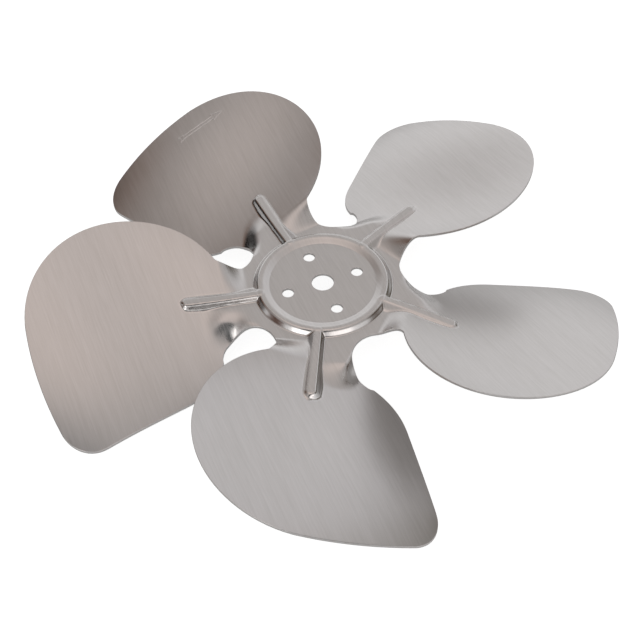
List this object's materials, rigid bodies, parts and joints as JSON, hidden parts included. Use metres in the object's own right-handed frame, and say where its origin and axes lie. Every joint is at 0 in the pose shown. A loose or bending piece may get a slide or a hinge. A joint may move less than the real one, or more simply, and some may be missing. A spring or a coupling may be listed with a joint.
{
  "type": "axial fan impeller",
  "caption": "One-piece pressed aluminium fan impeller with pitched paddle blades, raised hub ring, stiffening ribs, a shaft hole and a circle of screw holes.",
  "frame": {"origin": "centre of the shaft hole, on the upper face of the hub disc", "axes": "+Z along the fan's axis, out of the side on which the hub ring and ribs stand proud; the first blade's rib points along -Y"},
  "size_m": [0.1968, 0.1962, 0.0273],
  "materials": {
    "aluminium_sheet": "mill-finish rolled aluminium sheet with a fine straight grain, burnished where it is pressed"
  },
  "bodies": {
    "root": {"impeller": "aluminium_sheet"}
  },
  "joints": []
}
